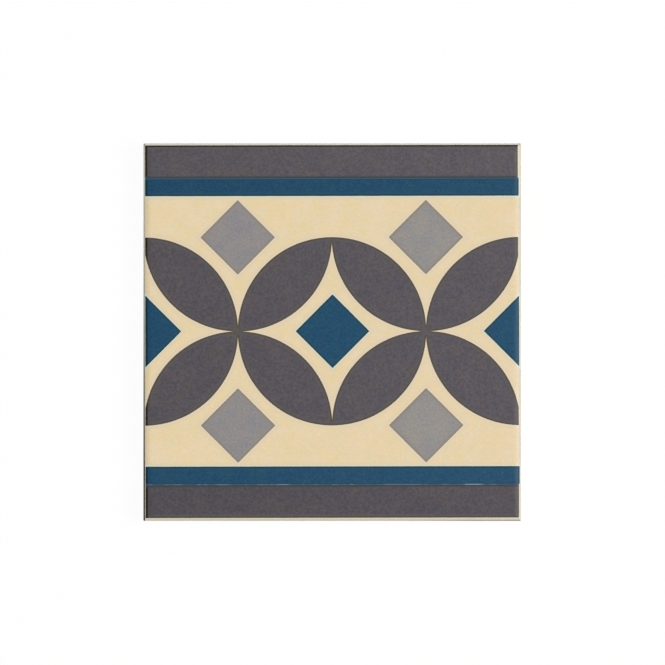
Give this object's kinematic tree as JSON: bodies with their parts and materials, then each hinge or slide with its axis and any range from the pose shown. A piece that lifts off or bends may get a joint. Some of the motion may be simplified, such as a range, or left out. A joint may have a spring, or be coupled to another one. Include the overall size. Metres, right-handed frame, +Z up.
{
  "type": "border tile",
  "caption": "Square glazed ceramic floor border tile with a printed band of interlaced circles and diamonds, and a keyed back.",
  "frame": {"origin": "middle of the bedding face, which the tile lies on", "axes": "+Z up through the printed face, X along the border, +Y to the top edge of the print as the picture shows it"},
  "size_m": [0.151, 0.151, 0.009],
  "materials": {
    "glazed_tile": "cream glaze with charcoal, blue and pale grey printed colours, satin sheen, bare buff clay on the sides and back"
  },
  "bodies": {
    "root": {"tile": "glazed_tile"}
  },
  "joints": []
}
